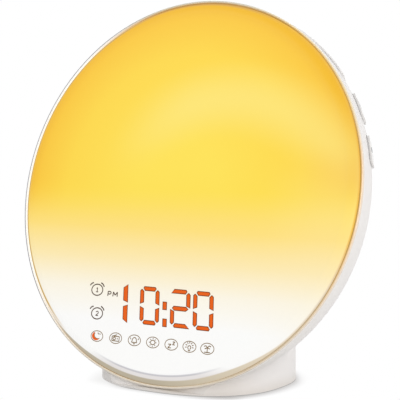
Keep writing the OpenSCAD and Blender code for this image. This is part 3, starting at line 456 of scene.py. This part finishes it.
# ---- Marks: how a mark is made ----

def finish_piece(name, bm, material, body="clock"):
    """Makes a piece of a bmesh drawn in the frame of the face, puts it in place and lets it ride."""
    bmesh.ops.recalc_face_normals(bm, faces=bm.faces)
    bmesh.ops.transform(bm, matrix=FACE, verts=bm.verts)
    mesh = bpy.data.meshes.new(name)
    bm.to_mesh(mesh)
    bm.free()
    obj = placed(name, mesh)
    give(obj, material)
    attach(obj, body)


def lay_on_crown(bm):
    """Drapes flat marks, drawn at z = 0 and up, over the crown of the lens."""
    for v in bm.verts:
        v.co.z += crown(v.co.x, v.co.y)


def slab(bm, outline, top):
    """A flat slab over an outline, from z = 0 to top, with its upper edge softened."""
    face = bm.faces.new([bm.verts.new((x, y, 0)) for x, y in outline])
    rim = bmesh.ops.extrude_face_region(bm, geom=[face])
    lifted = [v for v in rim["geom"] if isinstance(v, bmesh.types.BMVert)]
    bmesh.ops.translate(bm, verts=lifted, vec=(0, 0, top))
    edges = [e for e in bm.edges if e.verts[0] in lifted and e.verts[1] in lifted]
    bmesh.ops.bevel(bm, geom=edges, offset=top * 0.5, offset_type="OFFSET", segments=2, profile=0.5,
                    affect="EDGES", material=-1)


# Widths of the printed lines, in millimetres
DIAL_LINE, BELL_LINE, LABEL_LINE, FINE_LINE, RING_LINE = 0.52, 0.58, 0.50, 0.42, 0.36
# How far the marks stand proud: windows under their lights, lights, ink on the lens, ink on the keys
WINDOW_HIGH, LIGHT_HIGH, INK_HIGH, KEY_INK_HIGH = 0.045, 0.06, 0.06, 0.03
CRESCENT_HIGH = 0.05
# A line that turns by more than this is cut there
SHARP_TURN = math.radians(40)


def is_oval(line):
    """Whether a line is an oval: (centre x, y, half width, half height)."""
    return not isinstance(line[0], tuple)


def strokes(name, lines, width, material=ink, height=INK_HIGH, lay=lay_on_crown, body="clock"):
    """Printed lines: each is a list of points or an oval."""
    curve = bpy.data.curves.new(name, "CURVE")
    curve.dimensions, curve.use_fill_caps = "3D", True
    curve.bevel_depth, curve.bevel_resolution = width / 2, 2
    for line in lines:
        for part in [oval(*line)] if is_oval(line) else at_corners(line):
            spline = curve.splines.new("POLY")
            spline.points.add(len(part) - 1)
            for point, (x, y) in zip(spline.points, part):
                point.co = (x, y, 0, 1)
            spline.use_cyclic_u = is_oval(line)
    temporary = bpy.data.objects.new(name, curve)
    mesh = bpy.data.meshes.new_from_object(temporary)
    bpy.data.objects.remove(temporary)
    bm = bmesh.new()
    bm.from_mesh(mesh)
    bpy.data.meshes.remove(mesh)
    bmesh.ops.scale(bm, vec=(1, 1, 2 * height / width), verts=bm.verts)
    lay(bm)
    finish_piece(name, bm, material, body)


def at_corners(line):
    """Cuts a line at its sharp corners, where a drawn stroke would pinch."""
    parts = [[line[0]]]
    for before, here, after in zip(line, line[1:], line[2:]):
        a, b = Vector(here) - Vector(before), Vector(after) - Vector(here)
        parts[-1].append(here)
        if a.angle(b, 0) > SHARP_TURN:
            parts.append([here])
    parts[-1].append(line[-1])
    return parts


def oval(cx, cy, a, b, n=36):
    """Points round an oval."""
    turns = [2 * math.pi * i / n for i in range(n)]
    return [(cx + a * math.cos(t), cy + b * math.sin(t)) for t in turns]


def bow(cx, cy, r, start, end, n=12):
    """Points of an arc, in degrees."""
    turns = [math.radians(start + (end - start) * i / n) for i in range(n + 1)]
    return [(cx + r * math.cos(t), cy + r * math.sin(t)) for t in turns]


def rays(n, inner, outer, turn=0, sweep=360):
    """Short lines pointing away from a middle."""
    count = n if sweep == 360 else n - 1
    out = []
    for i in range(n):
        a = math.radians(turn + sweep * i / count)
        out.append([(inner * math.cos(a), inner * math.sin(a)), (outer * math.cos(a), outer * math.sin(a))])
    return out


def moved(lines, dx, dy, widen=1):
    """Lines that were drawn about 0, at their place."""
    return [(dx + line[0], dy + line[1], line[2], line[3]) if is_oval(line)
            else [(dx + widen * a, dy + b) for a, b in line] for line in lines]


# ---- Marks: the time ----

# Segments of a digit, right-hand upper quarter and upper half, about the digit's middle. The ends that meet
# another segment are nipped; a free end keeps its full point.
DIGIT_Y = -51.15
HALF_W, HALF_H, STROKE = 4.95, 8.1, 1.97
SLANT = math.tan(math.radians(-6))
UPRIGHT = [(HALF_W, 0.5), (HALF_W, 6.1), (HALF_W - 0.7, 6.8), (HALF_W - 1.1, 6.8),
           (HALF_W - STROKE, 5.9), (HALF_W - STROKE, 1.3)]
FREE_UPRIGHT = [(1.25, 0.5), (1.2, HALF_H + 0.2), (-1.15, 6.8), (-1.15, 1.3)]
LEVEL = [(-2.8, HALF_H), (2.8, HALF_H), (3.35, 7.35), (2.5, 6.25), (-2.5, 6.25), (-3.35, 7.35)]
FREE_LEVEL = [(-3.0, HALF_H), (2.8, HALF_H), (3.35, 7.35), (2.5, 6.25), (-4.6, 6.25)]
TAIL_LEVEL = [(-2.8, -HALF_H), (4.7, -HALF_H), (2.6, -6.25), (-2.5, -6.25), (-3.35, -7.35)]
MIDDLE = [(-3.2, 0.95), (2.9, 0.95), (4.1, 0.0), (2.7, -0.95), (-3.0, -0.95), (-4.1, 0.0)]
# A dot of the colon, about its middle
DOT = [(-1.05, -1.7), (1.05, -1.7), (1.05, 1.7), (-1.05, 1.7)]
# Where the digits and the dots stand: their middles, and the dots' heights over the digits' middle
DIGIT_PLACES = (("1", -18.95), ("0", -6.3), ("2", 9.25), ("0", 20.6))
DOT_PLACES = ((1.4, 0.6), (2.3, -6.55))


def mirrored(outline, x=1, y=1):
    """An outline turned over where x or y is -1."""
    return [(a * x, b * y) for a, b in outline]


DIGITS = {
    "0": [mirrored(UPRIGHT, x, y) for x in (-1, 1) for y in (-1, 1)] + [LEVEL, mirrored(LEVEL, 1, -1)],
    "1": [FREE_UPRIGHT, mirrored(FREE_UPRIGHT, 1, -1)],
    "2": [FREE_LEVEL, UPRIGHT, MIDDLE, mirrored(UPRIGHT, -1, -1), TAIL_LEVEL]}


def drawn_in(outline, by):
    """The outline made smaller by this much on each side."""
    sides = []
    for values in zip(*outline):
        middle, half = (max(values) + min(values)) / 2, (max(values) - min(values)) / 2
        sides.append([middle + (v - middle) * (half - by) / half for v in values])
    return list(zip(*sides))


def digits(name, margin, height, material):
    """The time, 10:20, with each segment drawn in by a margin."""
    bm = bmesh.new()
    for value, middle in DIGIT_PLACES:
        for outline in DIGITS[value]:
            shape = drawn_in(outline, margin)
            slab(bm, [(middle + a + b * SLANT, DIGIT_Y + b) for a, b in shape], height)
    for x, y in DOT_PLACES:
        shape = drawn_in(DOT, margin)
        slab(bm, [(x + a + b * SLANT, DIGIT_Y + y + b) for a, b in shape], height)
    lay_on_crown(bm)
    finish_piece(name, bm, material)


# The light of each segment fills its window but for a thin dark edge
digits("digit_windows", -0.08, WINDOW_HIGH, window_ink)
digits("lit_digits", 0.28, LIGHT_HIGH, lit_epoxy)


# ---- Marks: the alarms and the period ----

BELLS = [[(-4.1, 1.7), (-3.65, 2.35), (-3.0, 2.8), (-2.3, 3.0)],
         [(1.7, 3.2), (2.45, 2.85), (3.1, 2.3), (3.6, 1.55)]]
FIGURE_ONE = [[(-0.5, 0.5), (0.05, 0.95), (0.05, -0.9)], [(-0.55, -0.9), (0.65, -0.9)]]
FIGURE_TWO = [bow(0.0, 0.35, 0.62, 165, -30, 10) + [(-0.7, -0.9), (0.7, -0.9)]]
PERIOD = [[(0, 0), (0, 2)], [(0, 2), (1.0, 2)] + bow(1.0, 1.45, 0.55, 90, -90, 6) + [(0, 0.9)],
          [(2.6, 0), (2.7, 2), (3.7, 0.6), (4.7, 2), (4.8, 0)]]


def alarm_icon(name, x, y, figure):
    """A dial with its two bells, and the number of the alarm in it."""
    strokes(name + "_dial", [(x, y, 3.0, 2.45)], DIAL_LINE)
    strokes(name + "_bells", moved(BELLS, x, y), BELL_LINE)
    strokes(name + "_figure", moved(figure, x, y), FINE_LINE)


alarm_icon("first_alarm", -34.85, -46.4, FIGURE_ONE)
alarm_icon("second_alarm", -33.4, -56.7, FIGURE_TWO)
strokes("period_label", moved(PERIOD, -28.8, -48.65, 1.05), LABEL_LINE)


# ---- Marks: the seven functions ----

# Their rings: level ovals, wider than high
ICON_Y, ICON_A, ICON_B = -66.5, 3.2, 2.3
ICON_X = [-32.0, -21.9, -12.0, -2.5, 6.9, 15.9, 24.6]
strokes("icon_rings", [(x, ICON_Y, ICON_A, ICON_B) for x in ICON_X], RING_LINE, fine_ink)


# The moon is drawn wider than high too, by these shares of a round one
MOON_A, MOON_B = 1.12, 0.93


def crescent_edge(*arc_highlight):
    """An arc of the moon."""
    return [(MOON_A * a, MOON_B * b) for a, b in bow(*arc_highlight)]


CRESCENT_OUTER = crescent_edge(-0.4, 0.0, 2.0, 112, 318, 16)
CRESCENT_INNER = crescent_edge(0.45, 0.55, 1.75, 300, 152, 16)

ICONS = [
    ("sleep_icon", [[(0.3, 1.5), (1.0, 0.8)], [(1.4, 1.3), (1.7, 0.7)], CRESCENT_INNER]),
    ("radio_icon", [[(-1.9, -1.2), (1.9, -1.2), (1.9, 0.8), (-1.9, 0.8), (-1.9, -1.2)],
                    [(-1.4, 0.85), (0.6, 1.55)], (-0.7, -0.2, 0.65, 0.55), [(0.6, -0.2), (1.3, -0.2)]]),
    ("bell_icon", [[(-1.4, -0.9)] + bow(0, 0.2, 1.0, 180, 0, 10) + [(1.4, -0.9), (-1.4, -0.9)],
                   bow(0, -1.1, 0.45, 200, 340, 6),
                   [(-2.2, 1.0), (-1.8, 0.3)], [(2.2, 1.0), (1.8, 0.3)]]),
    ("sun_icon", [(0, 0, 1.15, 0.95)] + rays(8, 1.45, 1.9)),
    ("snooze_icon", [[(-1.6, 0.1), (-0.1, 0.1), (-1.6, -1.4), (0.0, -1.4)],
                     [(0.6, 1.2), (1.7, 1.2), (0.6, 0.0), (1.8, 0.0)]]),
    ("lamp_icon", rays(7, 1.35, 2.1, -10, 200) + [
        bow(0, -0.3, 0.75, -60, 240, 12), [(-0.35, -1.1), (-0.35, -1.7), (0.35, -1.7), (0.35, -1.1)]]),
    ("nature_icon", [[(0.1, -1.5), (0.0, 0.4)], [(0.0, 0.4), (-0.7, 1.2), (-1.7, 0.9)],
                     [(0.0, 0.4), (0.8, 1.3), (1.7, 0.9)], [(0.0, 0.4), (-1.2, -0.1)],
                     [(0.0, 0.4), (1.3, 0.0)], [(-1.3, -1.5), (1.5, -1.5)]])]
for (name, lines), x in zip(ICONS, ICON_X):
    strokes(name, moved(lines, x, ICON_Y), FINE_LINE, fine_ink)

# The lit crescent of the sleep icon
bm = bmesh.new()
slab(bm, *moved([CRESCENT_OUTER + CRESCENT_INNER], ICON_X[0], ICON_Y), CRESCENT_HIGH)
lay_on_crown(bm)
finish_piece("crescent_lit", bm, lit_epoxy)


# ---- Marks: the side buttons ----

# Depth of the buttons' middles behind the seam, and how far their crowns stand proud of the back
KEY_Z, KEY_PROUD = -11.7, 1.0


def lay_on_key(angle):
    """Wraps marks drawn about 0 round the crown of the side button at this angle, upright as seen from its
    side."""
    side = 1 if angle < 90 else -1

    def lay(bm):
        for v in bm.verts:
            z = KEY_Z - side * v.co.x
            r = shell_r(z, KEY_PROUD) + v.co.z
            a = math.radians(angle) + side * v.co.y / shell_r(z)
            v.co = (r * math.cos(a), r * math.sin(a), z)
    return lay


# Each button's angle round the back, and its mark: a lamp, a radio, plus and minus
KEY_MARKS = [
    ("right_upper_button", 28.9, [(0, 0.15, 0.75, 0.75), [(-0.3, -0.9), (0.3, -0.9)]]
     + rays(5, 1.1, 1.5, 0, 180)),
    ("right_lower_button", 15.3, [[(-1.2, -0.9), (1.2, -0.9), (1.2, 0.6), (-1.2, 0.6), (-1.2, -0.9)],
                                  [(-0.8, 0.6), (0.5, 1.2)], (-0.4, -0.15, 0.4, 0.4),
                                  [(0.4, 0.1), (0.9, 0.1)]]),
    ("left_upper_button", 151.1, [[(-1.2, 0), (1.2, 0)], [(0, -1.2), (0, 1.2)]]),
    ("left_lower_button", 164.7, [[(-1.2, 0), (1.2, 0)]])]
for name, angle, lines in KEY_MARKS:
    body = nodes[name]["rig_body"]
    strokes(name + "_mark", lines, FINE_LINE, key_ink, KEY_INK_HIGH, lay_on_key(angle), body)


# ---- Studio ----

# The floor: half its width in metres, and how far from the foot its painted shadow reaches
FLOOR_HALF, SHADOW_REACH_MM = 4.0, 9
# The level direction along the front of the foot. The floor's painted shadow fades past its two ends.
ALONG_FOOT = (0.84, 0.54, 0)
# Strength of the room's own light
ROOM_LIGHT = 0.45
# Each lamp: its place, its size and its power. All are turned to the middle of the clock.
LAMPS = {"key": ((-0.75, -0.95, 1.25), 0.9, 5.0),
         "fill": ((1.45, -0.55, 0.4), 0.9, 11.0),
         "top": ((0.1, 0.4, 1.5), 1.0, 4.0)}
LAMP_AIM = Vector((0, 0, 0.08))


def seen_ray(tree):
    """1 for what the eye sees straight or in a shiny surface, and the light path that tells it."""
    path = add(tree, "ShaderNodeLightPath")
    return maths(tree, "MAXIMUM", path.outputs["Is Camera Ray"], path.outputs["Is Glossy Ray"]), path


def lay_floor():
    """White paper: it bounces light as paper does, and the eye sees it pure white but for a painted soft
    shadow of contact."""
    floor_bm = bmesh.new()
    bmesh.ops.create_grid(floor_bm, x_segments=1, y_segments=1, size=FLOOR_HALF)
    mesh = bpy.data.meshes.new("floor")
    floor_bm.to_mesh(mesh)
    floor_bm.free()
    floor = placed("floor", mesh)
    m, tree, shader = new_material("white paper", "#DCDAD8", 0.9)
    seen, _ = seen_ray(tree)
    near = add(tree, "ShaderNodeAmbientOcclusion", samples=24, in_Distance=SHADOW_REACH_MM * MM)
    painted_shadow = ramp(tree, near.outputs["AO"], [
        (0.30, "#ACAAA8"), (0.50, "#CCCAC8"), (0.72, "#ECEBEB"), (0.92, "#FFFFFF")])
    # The painted shadow is lightened past the foot's two ends, as lamps on both sides would light it there
    place = add(tree, "ShaderNodeTexCoord").outputs["Object"]
    dot = add(tree, "ShaderNodeVectorMath", [(place, 0)], operation="DOT_PRODUCT", in_1=ALONG_FOOT)
    along = dot.outputs["Value"]
    lifted = maths(tree, "ADD", ease(tree, along, -30, -42), ease(tree, along, 41, 47))
    painted_shadow = blend(tree, product(tree, lifted, 0.75), painted_shadow, "#FFFFFF")
    light = add(tree, "ShaderNodeEmission", [(painted_shadow, "Color")], in_Strength=1.0)
    pick = add(tree, "ShaderNodeMixShader", [(seen, 0), (shader.outputs[0], 1), (light.outputs[0], 2)])
    tree.links.new(pick.outputs[0], tree.nodes["Material Output"].inputs[0])
    give(floor, m)


def hang_world():
    """A pale room for the light, and pure white for the eye."""
    world = bpy.data.worlds.new("studio")
    bpy.context.scene.world = world
    world.use_nodes = True
    tree = world.node_tree
    plain = tree.nodes["Background"]
    plain.inputs["Color"].default_value = (1, 1, 1, 1)
    plain.inputs["Strength"].default_value = ROOM_LIGHT
    seen, path = seen_ray(tree)
    seen = maths(tree, "MAXIMUM", seen, path.outputs["Is Transmission Ray"])
    white = add(tree, "ShaderNodeBackground", in_Color=(1, 1, 1, 1), in_Strength=1.0)
    pick = add(tree, "ShaderNodeMixShader", [(seen, 0), (plain.outputs[0], 1), (white.outputs[0], 2)])
    tree.links.new(pick.outputs[0], tree.nodes["World Output"].inputs[0])


def hang_lamps():
    """Three square lamps: upper left, low right and above."""
    for name, (place, size, power) in LAMPS.items():
        lamp = bpy.data.lights.new(name, "AREA")
        lamp.size, lamp.energy = size, power
        obj = placed(name, lamp)
        obj.location = place
        obj.rotation_euler = (LAMP_AIM - Vector(place)).to_track_quat("-Z", "Y").to_euler()


lay_floor()
hang_world()
hang_lamps()

# Camera: level with the upper part of the clock, to its right. Its shift sets the clock in the frame.
AZIMUTH, ELEVATION, DISTANCE = math.radians(32.5), math.radians(4.04), 0.600
LENS_MM, SENSOR_MM = 124.74, 36.0
SHIFT_X, SHIFT_Y = 18 / 400, -9.4 / 400
camera_data = bpy.data.cameras.new("camera")
camera_data.lens, camera_data.sensor_width = LENS_MM, SENSOR_MM
camera_data.shift_x, camera_data.shift_y = SHIFT_X, SHIFT_Y
camera = placed("camera", camera_data)
level = Vector((math.sin(AZIMUTH), -math.cos(AZIMUTH), 0)) * math.cos(ELEVATION)
away = level + Vector((0, 0, math.sin(ELEVATION)))
camera.location = FACE_CENTRE + DISTANCE * away
camera.rotation_euler = (-away).to_track_quat("-Z", "Y").to_euler()
bpy.context.scene.camera = camera
bpy.context.scene.view_settings.view_transform = "Standard"
